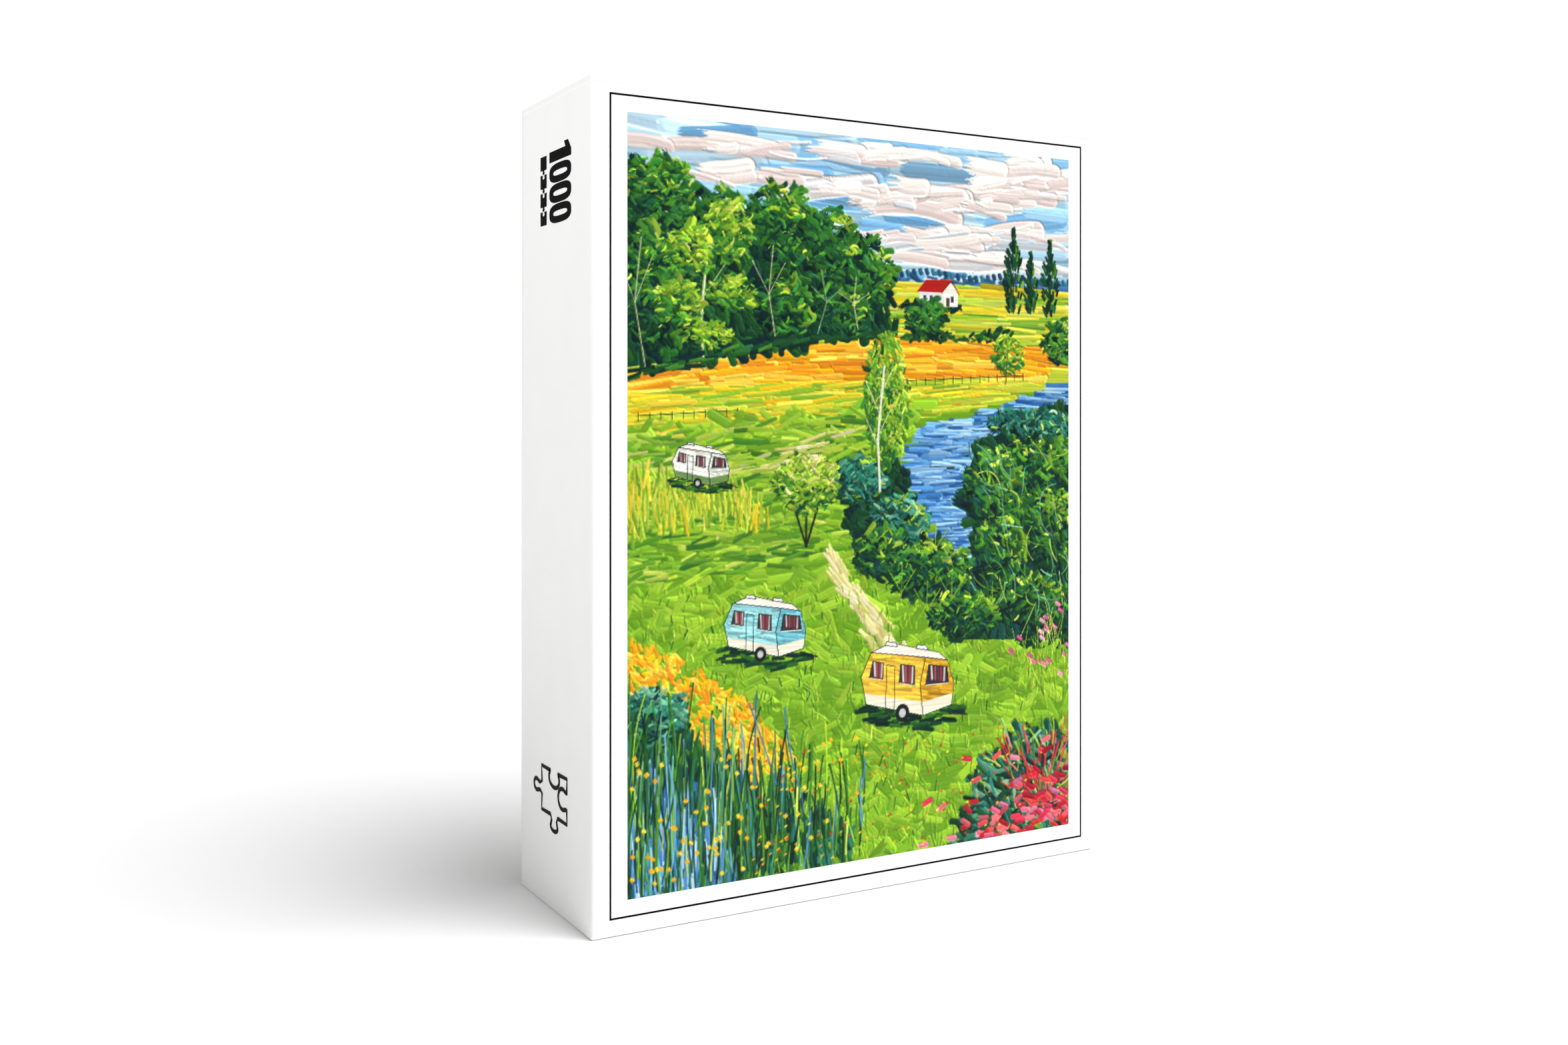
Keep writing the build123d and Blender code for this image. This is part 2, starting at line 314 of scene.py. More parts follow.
def paintPoplar(art, x, foot, tall):
    art.line([(x, foot), (x + 0.002, foot - tall * 0.9)], 0.005, "#4a3a28")
    for n in range(int(tall * 900)):
        up = art.luck.random() ** 0.85
        wide = 0.13 * tall * (math.sin(min(up * 1.05 + 0.12, 1) * math.pi) ** 0.6 + 0.1)
        off = art.luck.uniform(-1, 1)
        shades = midGreens + limeLeaves[2:3] if off < -0.2 and n % 3 == 0 else darkGreens[:4]
        art.stroke(
            x + wide * off, foot - tall * up, 0.019, 0.0075, -1.45 + 0.5 * off, art.pick(shades, 0.15)
        )


def paintWood(art):
    edge = [
        (0.43, 0.37), (0.46, 0.23), (0.6, 0.16), (0.7, 0.13), (0.8, 0.14), (0.9, 0.1), (1, 0.07),
        (1, 0.46), (0.75, 0.42),
    ]
    art.shape(
        [(0.45, 0.37), (0.49, 0.24), (0.62, 0.18), (0.72, 0.15), (0.82, 0.16), (1, 0.1), (1, 0.45)],
        darkGreens[1],
    )
    art.fill(edge, darkGreens + midGreens[:1], 420, 0.045, 0.018, angle=-1.2, turn=0.6)
    crowns = [
        (0.49, 0.26, 0.05, 0.07, 90),
        (0.58, 0.22, 0.06, 0.08, 120),
        (0.69, 0.18, 0.075, 0.08, 170),
        (0.81, 0.19, 0.06, 0.07, 120),
        (0.94, 0.14, 0.075, 0.07, 170),
        (0.55, 0.33, 0.07, 0.045, 90),
        (0.68, 0.33, 0.06, 0.07, 110),
        (0.96, 0.3, 0.05, 0.11, 130),
    ]
    leaves = [darkGreens, midGreens + darkGreens[:1], midGreens, limeLeaves]
    for x, y, wide, tall, count in crowns:
        art.crown(x, y, wide, tall, leaves, count, 0.015)
    for x, foot, top, lean in (
        (0.52, 0.37, 0.27, 0.01), (0.61, 0.38, 0.26, -0.02), (0.7, 0.4, 0.22, 0.015),
        (0.965, 0.45, 0.22, 0.02),
    ):
        bark = ["#c8c898", "#8aa888"][int(x * 100) % 2]
        art.line([(x, foot), (x + lean, (foot + top) / 2), (x + lean * 0.4, top)], 0.0045, bark, dry=0.3)
        for side in (-1, 1):
            art.line(
                [(x + lean, (foot + top) / 2), (x + lean + side * 0.035, top + 0.03)], 0.003, bark,
                dry=0.4,
            )
    # the light tree in front
    art.line([(0.85, 0.45), (0.855, 0.36), (0.84, 0.2)], 0.008, "#d8d8a0", dry=0.2)
    for side, y in ((1, 0.35), (-1, 0.32), (1, 0.28), (-1, 0.25)):
        art.line([(0.85, y), (0.85 + side * 0.05, y - 0.07)], 0.004, "#b8c890", dry=0.3)
    for x, y, wide, tall, count in (
        (0.8, 0.2, 0.05, 0.06, 90), (0.88, 0.24, 0.05, 0.05, 80), (0.79, 0.31, 0.05, 0.03, 60),
        (0.9, 0.33, 0.05, 0.04, 70), (0.85, 0.39, 0.06, 0.025, 50),
    ):
        art.crown(x, y, wide, tall, [midGreens + limeLeaves[2:3], limeLeaves, limeLeaves], count, 0.0125)
    art.fill(
        [(0.44, 0.37), (0.7, 0.39), (1, 0.455), (1, 0.475), (0.7, 0.41), (0.44, 0.385)],
        darkGreens + midGreens, 100, 0.04, 0.009, angle=0.25,
    )


def paintRiver(art):
    bed = [
        (0, 0.455), (0.1, 0.5), (0.22, 0.53), (0.36, 0.56), (0.42, 0.61), (0.41, 0.67), (0.36, 0.74),
        (0.32, 0.84), (0.2, 0.9), (0.14, 0.88), (0.2, 0.76), (0.24, 0.66), (0.2, 0.6), (0.08, 0.55),
        (0, 0.51),
    ]
    art.fill(bed, riverBlues[:4], 420, 0.06, 0.012, turn=0.09)
    art.fill(bed, riverBlues[1:3] + riverBlues[4:], 150, 0.07, 0.006, turn=0.06, dry=0.7, body=1.2)


def paintMeadow(art):
    ground = [
        (0.36, 0.51), (0.6, 0.52), (1, 0.56), (1, 1.39), (0, 1.39), (0, 0.9),
        (0.3, 0.88), (0.37, 0.74), (0.42, 0.67), (0.43, 0.6),
    ]
    lights = meadowGreens[:2] + meadowGreens[3:4] + fieldGreens[:2]
    art.fill(ground, lights, 1500, 0.055, 0.018, angle=0.1, turn=0.6, body=0.5)
    art.fill(
        [(0.4, 0.52), (1, 0.57), (1, 0.84), (0.5, 0.8)], fieldGreens + meadowGreens, 520, 0.06, 0.011,
        angle=0.06, turn=0.2, body=0.7,
    )
    art.fill(
        [(0.5, 0.55), (0.72, 0.6), (1, 0.6), (1, 0.63), (0.7, 0.64), (0.56, 0.58)],
        pathCreams + fieldGreens, 50, 0.06, 0.008, angle=0.15, dry=0.7,
    )
    lane = [(0.58, 0.8), (0.55, 0.85), (0.5, 0.91), (0.46, 0.96), (0.42, 1.04)]
    for n, ((ax, ay), (bx, by)) in enumerate(zip(lane, lane[1:])):
        for k in range(26):
            share = art.luck.random()
            wide = 0.012 + 0.006 * n
            art.stroke(
                ax + (bx - ax) * share + art.luck.normal(0, wide * 0.7),
                ay + (by - ay) * share,
                0.05,
                0.008 + 0.0015 * n,
                math.atan2(by - ay, bx - ax) + art.luck.normal(0, 0.2),
                art.pick(pathCreams),
                dry=0.7,
                body=0.6,
            )
    for n in range(1500):
        x, y = art.luck.random(), art.luck.uniform(0.84, art.tall)
        tall = 0.014 + 0.03 * (y - 0.8)
        shades = meadowGreens + limeLeaves + (darkGreens[:2] if n % 3 == 0 else [])
        art.stroke(
            x, y, tall, 0.0042, -1.57 + art.luck.normal(0, 0.35), art.pick(shades, 0.1), dry=0.6, body=0.6
        )


def paintBanks(art):
    art.crown(0.02, 0.38, 0.05, 0.045, [darkGreens, midGreens, midGreens, limeLeaves], 80, 0.013)
    art.crown(0.16, 0.41, 0.04, 0.04, [midGreens, limeLeaves, limeLeaves], 70, 0.011)
    art.line([(0.165, 0.47), (0.16, 0.4)], 0.004, "#6a5a3a")
    bank = [
        (0, 0.51), (0.12, 0.54), (0.24, 0.6), (0.28, 0.7), (0.22, 0.82), (0.34, 0.86), (0.3, 0.98),
        (0, 1.0),
    ]
    art.shape(bank, darkGreens[0])
    art.fill(bank, darkGreens + tealLeaves[2:3], 480, 0.045, 0.02, angle=-0.7, turn=0.8)
    shades = [darkGreens, darkGreens + tealLeaves[2:3], midGreens, midGreens + limeLeaves, limeLeaves]
    teal = [darkGreens, tealLeaves[:3], tealLeaves, tealLeaves[3:] + limeLeaves]
    for x, y, wide, tall, count in (
        (0.08, 0.62, 0.1, 0.08, 230), (0.19, 0.68, 0.08, 0.08, 190), (0.06, 0.76, 0.09, 0.08, 200),
        (0.18, 0.8, 0.07, 0.06, 130),
    ):
        art.crown(x, y, wide, tall, shades, count, 0.017, lean=-0.5)
    art.crown(0.1, 0.55, 0.11, 0.03, teal, 110, 0.014, lean=-0.4)
    art.crown(0.1, 0.91, 0.13, 0.05, shades, 170, 0.016)
    for n in range(90):
        x, y = art.luck.uniform(0.0, 0.25), art.luck.uniform(0.6, 0.92)
        tall, turn = art.luck.uniform(0.03, 0.075), -1.2 + art.luck.normal(0, 0.6)
        tone = art.pick([limeLeaves, tealLeaves[3:], midGreens][n % 3], 0.1)
        art.stroke(x, y, tall, 0.0045, turn, tone, bend=art.luck.normal(0, 0.35), dry=0.5, body=0.7)
    # bushes between the river and the meadow
    art.shape([(0.42, 0.64), (0.54, 0.65), (0.54, 0.76), (0.46, 0.84), (0.36, 0.86)], darkGreens[1])
    art.fill(
        [(0.42, 0.62), (0.56, 0.64), (0.55, 0.76), (0.46, 0.84), (0.36, 0.86)], darkGreens, 120, 0.035,
        0.016, turn=0.9,
    )
    for x, y, wide, tall, count, tones in (
        (0.52, 0.66, 0.06, 0.045, 120, teal),
        (0.43, 0.74, 0.07, 0.05, 130, teal),
        (0.47, 0.8, 0.06, 0.05, 110, shades),
        (0.35, 0.84, 0.1, 0.06, 210, shades),
        (0.27, 0.93, 0.09, 0.045, 140, shades),
    ):
        art.crown(x, y, wide, tall, tones, count, 0.0145)
    for x, y in ((0.3, 0.9), (0.36, 0.92), (0.42, 0.88), (0.2, 0.93), (0.34, 0.8)):
        for turn in (-2.3, -1.6, -0.9):
            art.line(
                [(x, y), (x + 0.05 * math.cos(turn), y + 0.06 * math.sin(turn))], 0.0035, limeLeaves[0],
                dry=0.5,
            )
    # round bush with a dark stem
    for side in (-1, 0, 1):
        art.line([(0.635, 0.78), (0.635 + side * 0.035, 0.68)], 0.007, "#2c3020")
    art.crown(
        0.635, 0.66, 0.07, 0.055,
        [midGreens + darkGreens[:1], limeLeaves, limeLeaves + pathCreams[3:], pathCreams], 230, 0.0115,
    )
    reeds = [(0.7, 0.74), (0.76, 0.67), (1, 0.63), (1, 0.74), (0.84, 0.72)]
    art.fill(
        reeds, fieldYellows + fieldGreens + limeLeaves[2:3], 240, 0.045, 0.006, angle=-1.5, turn=0.2,
        body=0.7,
    )
    # tall tree with a pale trunk
    art.crown(
        0.455, 0.5, 0.05, 0.13, [midGreens, limeLeaves + midGreens, limeLeaves, limeLeaves], 330, 0.0125,
        lean=-1.2,
    )
    art.line([(0.47, 0.68), (0.475, 0.58), (0.46, 0.44)], 0.0075, "#ece8d4", dry=0.2)
    for y, side in ((0.6, 1), (0.57, -1), (0.53, 1), (0.5, -1)):
        art.line([(0.472, y), (0.47 + side * 0.032, y - 0.06)], 0.0032, "#e0dcc0", dry=0.3)


def paintCaravan(art, x, y, size, end, side, lower, roof):
    def at(*pairs):
        return [(x + size * a, y + size * b) for a, b in pairs]

    hair = max(0.0026, size * 0.011)
    art.fill(
        at((-0.1, -0.03), (0.4, 0.02), (1.1, -0.16), (1.2, 0.0), (0.4, 0.17), (-0.05, 0.1)),
        darkGreens + midGreens[:2], 60, size * 0.2, size * 0.05,
    )
    faces = [
        (at((0, -0.06), (0.36, 0.02), (0.4, -0.3), (0.33, -0.58), (0.05, -0.53), (-0.03, -0.28)), end),
        (at((0.36, 0.02), (1.06, -0.16), (1.12, -0.44), (1.0, -0.68), (0.33, -0.58), (0.4, -0.3)), side),
        (at((0.05, -0.53), (0.33, -0.58), (1.0, -0.68), (0.76, -0.76), (0.16, -0.62)), roof),
        (at((0.36, 0.02), (1.06, -0.16), (1.08, -0.27), (0.375, -0.12)), lower),
        (at((0, -0.06), (0.36, 0.02), (0.375, -0.12), (-0.012, -0.18)), lower),
    ]
    for outline, colour in faces:
        art.shape(outline, colour)
    for outline, colour in faces[:2]:
        tones = [
            "#%02x%02x%02x" % tuple(int(255 * min(v * k, 1)) for v in rgb(colour))
            for k in (0.85, 1.0, 1.15)
        ]
        art.fill(
            outline, tones, 60, size * 0.3, size * 0.045, angle=-0.15, turn=0.12, dry=0.6, body=0.6,
            inside=outline,
        )
    for outline, colour in faces[3:]:
        art.shape(outline, colour)
    panes = [
        at((0.06, -0.46), (0.29, -0.5), (0.33, -0.3), (0.04, -0.3)),
        at((0.47, -0.5), (0.64, -0.53), (0.66, -0.35), (0.47, -0.31)),
        at((0.85, -0.56), (0.98, -0.59), (1.02, -0.43), (0.86, -0.4)),
    ]
    for pane in panes:
        art.shape(pane, "#4c3c44")
        left, right = pane[0], pane[1]
        drop = (pane[3][1] - pane[0][1]) * 0.92
        for share, cloth in (
            (0.14, "#dcdcd8"), (0.34, "#b8444c"), (0.5, "#6c5058"), (0.66, "#c4626a"), (0.86, "#e4e2dc")
        ):
            px, py = left[0] + (right[0] - left[0]) * share, left[1] + (right[1] - left[1]) * share
            lean = size * 0.02 * (0.5 - share)
            art.line([(px, py + drop * 0.04), (px + lean, py + drop)], size * 0.034, cloth, inside=pane)
        art.line(pane + pane[:1], hair * 1.3, inkDark)
        art.line([(x, y + size * 0.012) for x, y in (pane[3], pane[2])], hair, "#e8e6de")
    art.line(at((0.72, -0.07), (0.71, -0.52), (0.81, -0.54), (0.825, -0.1)), hair, inkDark)
    for outline, colour in faces[:3]:
        art.line(outline + outline[:1], hair, inkDark)
    for a, b in ((0.3, -0.655), (0.68, -0.715)):
        vent = at((a, b), (a + 0.15, b - 0.025), (a + 0.13, b - 0.06), (a + 0.02, b - 0.045))
        art.shape(vent, "#f2f2ec")
        art.line(vent + vent[:1], hair, inkDark)
    turns = np.linspace(0, 2 * math.pi, 15)[:-1]
    for share, colour in ((1, "#262a2a"), (0.5, "#c8ccc8")):
        ring = [(0.62 + 0.085 * share * math.cos(a), -0.03 + 0.095 * share * math.sin(a)) for a in turns]
        art.shape(at(*ring), colour)
    art.line(at((0.04, -0.02), (-0.2, 0.06)), size * 0.025, inkDark)
    art.line(at((0.2, 0.02), (-0.2, 0.06)), size * 0.02, inkDark)
    art.line(at((-0.14, 0.04), (-0.14, 0.13)), size * 0.018, inkDark)


def paintFlowers(art):
    art.fill(
        [(0, 1.2), (0.12, 1.17), (0.24, 1.24), (0.3, 1.39), (0, 1.39)], tealLeaves + darkGreens, 330,
        0.05, 0.012, angle=-0.9, turn=0.6,
    )
    for n in range(150):
        turn = art.luck.uniform(-2.9, -0.6)
        out = art.luck.uniform(0.03, 0.24)
        x, y = 0.07 + out * math.cos(turn) * 0.95, 1.34 + out * math.sin(turn) * 0.75
        length, tilt = art.luck.uniform(0.03, 0.07), turn + art.luck.normal(0, 0.2)
        tone = art.pick(flowerReds if n % 3 else tealLeaves + limeLeaves)
        art.stroke(x, y, length, 0.006, tilt, tone, bend=0.1, dry=0.5)
    for n in range(110):
        x, y = abs(art.luck.normal(0, 0.13)), art.tall - abs(art.luck.normal(0, 0.07))
        art.stroke(
            x, y, 0.03, 0.013, art.luck.uniform(-0.8, 0.6), art.pick(flowerReds + flowerPinks[:1], 0.1),
            body=1.5,
        )
    for n in range(60):
        x, y = art.luck.normal(0.05, 0.04), art.luck.normal(1.06, 0.05)
        art.line([(x, y), (x + art.luck.normal(0, 0.02), y - 0.07)], 0.0028, limeLeaves[n % 4], dry=0.4)
        if n % 3 == 0:
            art.stroke(x, y - 0.05, 0.02, 0.01, -0.6, art.pick(flowerPinks), body=1.5)
    art.fill(
        [(0.66, 1.17), (0.76, 1.06), (0.9, 0.97), (1, 0.93), (1, 1.03), (0.88, 1.1), (0.78, 1.22)],
        fieldGolds + flowerYellows * 2, 420, 0.022, 0.01, angle=-0.9, turn=0.7,
    )
    art.fill(
        [(0.56, 1.3), (0.74, 1.22), (0.86, 1.11), (1, 1.03), (1, 1.39), (0.52, 1.39)],
        tealLeaves[:3] + darkGreens + midGreens, 420, 0.06, 0.012, angle=-1.4, turn=0.4, body=0.7,
    )
    art.fill(
        [(0.78, 1.39), (0.82, 1.24), (1, 1.16), (1, 1.39)], riverBlues, 170, 0.06, 0.012, angle=-1.5,
        turn=0.15,
    )
    art.crown(0.95, 1.07, 0.07, 0.05, [darkGreens, tealLeaves[:3], tealLeaves, tealLeaves[3:]], 150, 0.014)
    reeds = [darkGreens, midGreens, tealLeaves, limeLeaves, riverBlues]
    for n in range(330):
        x = min(0.5 + 0.5 * art.luck.random() ** 0.7, 1)
        foot = art.luck.uniform(1.22, 1.42)
        tall = art.luck.uniform(0.08, 0.26) * (0.5 + 0.9 * (x - 0.5))
        shades = reeds[art.luck.choice(5, p=[0.3, 0.25, 0.2, 0.17, 0.08])]
        lean, tone = art.luck.normal(0, 0.1) - 1.57, art.pick(shades, 0.1)
        art.stroke(x, foot - tall / 2, tall, 0.0055, lean, tone, bend=art.luck.normal(0, 0.06), dry=0.3)
    for n in range(80):
        x, y = min(0.52 + 0.48 * art.luck.random() ** 0.8, 0.99), art.luck.uniform(1.14, 1.37)
        for turn in (0, 1.3, 2.4):
            art.stroke(x, y, 0.012, 0.0055, turn, art.pick(flowerYellows, 0.05), dry=0, body=1.6)
    for n in range(150):
        x, y = art.luck.uniform(0.1, 0.75), art.luck.uniform(1.16, 1.38)
        art.stroke(
            x, y, 0.009, 0.006, 0.4, art.pick(flowerYellows if n % 3 else flowerReds[:2]), dry=0, body=1.4
        )


def paintPicture(spec):
    art = Canvas(spec)
    baseCoat(art)
    paintSky(art)
    paintFields(art)
    paintHouse(art, 0.285, 0.318, 0.085)
    for x, foot, tall in ((0.05, 0.325, 0.15), (0.1, 0.32, 0.12), (0.145, 0.325, 0.17)):
        paintPoplar(art, x, foot, tall)
    art.crown(0.365, 0.345, 0.045, 0.04, [darkGreens, midGreens, midGreens], 80, 0.013)
    art.fill(
        [(0.1, 0.36), (0.42, 0.375), (0.42, 0.388), (0.2, 0.385)], darkGreens + midGreens[:2], 50, 0.022,
        0.009, turn=0.6,
    )
    paintWood(art)
    paintRiver(art)
    paintMeadow(art)
    paintBanks(art)
    paintFlowers(art)
    for x, y, size, end, side, lower in (
        (0.8, 0.66, 0.1, "#d8dcd0", "#f0eee2", "#7a9a5c"),
        (0.64, 0.98, 0.15, "#7cc0cc", "#9cd2d6", "#f0ead8"),
        (0.3, 1.12, 0.19, "#e2b23a", "#f0c650", "#f4ecd8"),
    ):
        paintCaravan(art, x, y, size, end, side, lower, "#f4efe4")
    # turned left to right, so that the river runs down the right side
    return art.finished(spec["impasto"])[:, ::-1] ** spec["depth"]


# shader helpers


class Wire:
    # a node's output that can be used in sums
    def __init__(self, paint, socket):
        self.paint = paint
        self.socket = socket

    def maths(self, operation, *values):
        return self.paint.add("ShaderNodeMath", {"operation": operation}, dict(enumerate(values)))

    def __add__(self, other):
        return self.maths("ADD", self, other)

    def __radd__(self, other):
        return self.maths("ADD", other, self)

    def __sub__(self, other):
        return self.maths("SUBTRACT", self, other)

    def __rsub__(self, other):
        return self.maths("SUBTRACT", other, self)

    def __mul__(self, other):
        return self.maths("MULTIPLY", self, other)

    def __rmul__(self, other):
        return self.maths("MULTIPLY", other, self)

    def __truediv__(self, other):
        return self.maths("DIVIDE", self, other)

    def __abs__(self):
        return self.maths("ABSOLUTE", self)

    def __floordiv__(self, other):
        return self.maths("FLOOR", self.maths("DIVIDE", self, other))

    def above(self, limit):
        return self.maths("GREATER_THAN", self, limit)

    def rise(self, low, high):
        # 0 below low, 1 above high and smooth between
        return self.paint.add(
            "ShaderNodeMapRange", {"interpolation_type": "SMOOTHSTEP"}, {0: self, 1: low, 2: high}
        )


class Paint:
    # a material, and the one way its nodes are made
    def __init__(self, name, **uniform):
        self.material = bpy.data.materials.new(name)
        self.material.use_nodes = True
        self.tree = self.material.node_tree
        self.shader = self.tree.nodes["Principled BSDF"]
        self.put(**uniform)

    def add(self, kind, settings=None, inputs=None, output=0):
        node = self.tree.nodes.new(kind)
        for key, value in (settings or {}).items():
            setattr(node, key, value)
        for key, value in (inputs or {}).items():
            self.join(node.inputs[key], value)
        return Wire(self, node.outputs[output])

    def join(self, socket, value):
        if isinstance(value, Wire):
            self.tree.links.new(value.socket, socket)
        else:
            socket.default_value = value

    def put(self, **values):
        for key, value in values.items():
            self.join(self.shader.inputs[key.replace("_", " ")], value)

    def place(self):
        return self.add("ShaderNodeTexCoord", output="Object")

    def parts(self, vector):
        node = self.add("ShaderNodeSeparateXYZ", inputs={0: vector})
        return [Wire(self, out) for out in node.socket.node.outputs]

    def vector(self, x, y, z):
        return self.add("ShaderNodeCombineXYZ", inputs={0: x, 1: y, 2: z})

    def stretch(self, vector, by):
        return self.add("ShaderNodeVectorMath", {"operation": "MULTIPLY"}, {0: vector, 1: by})

    def noise(self, vector, scale, detail=3.0, rough=0.55, warp=0.0):
        return self.add(
            "ShaderNodeTexNoise",
            inputs={
                "Vector": vector, "Scale": scale, "Detail": detail, "Roughness": rough, "Distortion": warp
            },
        )

    def mix(self, share, first, second):
        return self.add("ShaderNodeMix", {"data_type": "RGBA"}, {0: share, 6: first, 7: second}, output=2)

    def bump(self, height, distance, strength=1.0, under=None):
        inputs = {"Height": height, "Distance": distance, "Strength": strength}
        if under:
            inputs["Normal"] = under
        return self.add("ShaderNodeBump", inputs=inputs)


def tint(colour, alpha=1.0):
    # a colour written as on a screen, for a shader
    share = [int(colour[n : n + 2], 16) / 255 for n in (1, 3, 5)]
    return (*[v / 12.92 if v < 0.04045 else ((v + 0.055) / 1.055) ** 2.4 for v in share], alpha)


# materials

stock = {
    "paperWhite": "#f6f6f5",
    "paperRough": 0.42,
    "trayWhite": "#efefec",
    "trayRough": 0.55,
    "greyboard": ("#a09a8f", "#8b8579", "#b4aea2"),
    "kraft": ("#b08a5c", "#97734a"),
    "ink": "#0a0a0b",
    "lapStep": 0.00012,
    "lapInset": 0.013,
    "middle": 0.14,
    "endFace": (0.1372, 0.138),
    "lidHalf": 0.105,
    "trayHalf": 0.1026,
}


def coatedPaper(name, white, rough, halfWidth):
    paint = Paint(name, IOR=1.46, Specular_IOR_Level=0.25, Coat_IOR=1.5, Coat_Roughness=0.3)
    place = paint.place()
    mottle = paint.noise(place, 60, 4)
    fibre = paint.noise(place, 1400, 2)
    dirty = tuple(0.965 * v for v in tint(white)[:3]) + (1,)
    paint.put(
        Base_Color=paint.mix(mottle.rise(0.35, 0.8) * 0.6, tint(white), dirty),
        Roughness=rough + 0.1 * (mottle - 0.5) + 0.06 * (fibre - 0.5),
        Coat_Weight=0.05,
    )
    normal = paint.bump(fibre, 0.00002, 0.35)
    soft = paint.bump(paint.noise(place, 26, 2), 0.0006, 0.12, normal)
    # the side flaps lie under the end flaps and show as a low step near the corners
    x, y, z = paint.parts(place)
    lap = abs(x).rise(halfWidth - stock["lapInset"] - 0.0005, halfWidth - stock["lapInset"])
    onEnd = abs(z - stock["middle"]).rise(*stock["endFace"])
    paint.put(Normal=paint.bump(lap * onEnd, stock["lapStep"], 0.9, soft))
    return paint.material


def greyboard(name):
    paint = Paint(name, Roughness=0.9, IOR=1.4)
    place = paint.place()
    low, dark, light = (tint(c) for c in stock["greyboard"])
    clouds = paint.noise(place, 90, 5, 0.65)
    fibres = paint.noise(paint.stretch(place, (1, 1, 0.22)), 1500, 3, 0.7, 0.6)
    flecks = paint.noise(place, 700, 2, 0.5)
    base = paint.mix(clouds.rise(0.3, 0.7), low, dark)
    base = paint.mix(fibres.rise(0.55, 0.72) * 0.7, base, light)
    base = paint.mix(flecks.rise(0.72, 0.78) * 0.8, base, tint("#4d4a48"))
    normal = paint.bump(fibres + clouds * 0.5, 0.00006, 0.6)
    paint.put(Base_Color=base, Roughness=0.86 + 0.1 * fibres, Normal=normal)
    return paint.material


def kraftTape(name):
    paint = Paint(name, Roughness=0.6, IOR=1.45)
    place = paint.place()
    first, second = (tint(c) for c in stock["kraft"])
    fibres = paint.noise(paint.stretch(place, (1, 0.2, 1)), 1800, 3, 0.6, 0.5)
    wrinkle = paint.noise(paint.stretch(place, (1, 0.3, 1)), 220, 3)
    base = paint.mix(fibres.rise(0.35, 0.7), first, second)
    normal = paint.bump(wrinkle + fibres * 0.3, 0.00008, 0.6)
    paint.put(Base_Color=base, Roughness=0.55 + 0.2 * wrinkle, Normal=normal)
    return paint.material


def printInk(name):
    paint = Paint(name, IOR=1.45, Specular_IOR_Level=0.03)
    place = paint.place()
    body = paint.noise(place, 900, 3)
    paint.put(
        Base_Color=paint.mix(body.rise(0.45, 0.8) * 0.4, tint(stock["ink"]), tint("#151517")),
        Roughness=0.36 + 0.12 * body,
        Normal=paint.bump(body, 0.00001, 0.3),
    )
    return paint.material


def paintedPrint(name, rough, coat):
    # ink on coated paper: the colours are the mesh's own, and the raised varnish is faint
    paint = Paint(name, IOR=1.45, Coat_Roughness=0.25, Specular_IOR_Level=0.1)
    place = paint.place()
    colours = paint.add("ShaderNodeVertexColor", {"layer_name": "paint"})
    weave = paint.noise(place, 1600, 2)
    sheen = paint.noise(paint.stretch(place, (0.4, 1, 1)), 130, 4, 0.6)
    paint.put(
        Base_Color=colours,
        Roughness=rough + 0.14 * (sheen - 0.5) + 0.06 * (weave - 0.5),
        Coat_Weight=coat,
        Normal=paint.bump(weave * 0.4 + sheen, 0.00003, 0.5),
    )
    return paint.material


def filmLook(name):
    paint = Paint(name, Base_Color=tint("#eef4f8"), IOR=1.5, Specular_IOR_Level=0.9)
    place = paint.place()
    crease = paint.noise(place, 75, 4, 0.62, 1.2)
    fine = paint.noise(paint.stretch(place, (1, 1, 0.35)), 260, 3, 0.6, 0.8)
    ridge = abs(crease - 0.5).rise(0.0, 0.035)
    x, y, z = paint.parts(place)
    seal = z.rise(bag["neck"] - 0.0015, bag["neck"] + 0.0005)
    # the film is more opaque, so whiter, along the crease lines, a painted highlight of the creases; the seal
    # band is more opaque too
    paint.put(
        Alpha=0.1 + 0.22 * (1.0 - ridge) + 0.12 * fine.rise(0.5, 0.8) + 0.22 * seal,
        Roughness=0.1 + 0.12 * fine,
        Normal=paint.bump(crease + fine * 0.35, 0.0012, 0.9),
    )
    return paint.material


# where the pieces stand in the bag, and the colours on them
slots = {
    "width": 0.0217,
    "height": 0.0296,
    "pitch": 0.00255,
    "foot": 0.00515,
    "front": -0.02788,
    "shades": [
        ("#2a6a34", "#16402e"),
        ("#8fb93a", "#5f9a3a"),
        ("#a9d0e8", "#ece2dc"),
        ("#f0d83c", "#c3cf48"),
        ("#3f78b8", "#8ab6e0"),
        ("#f0a81c", "#dd8a24"),
        ("#c42f34", "#2f7a68"),
    ],
}


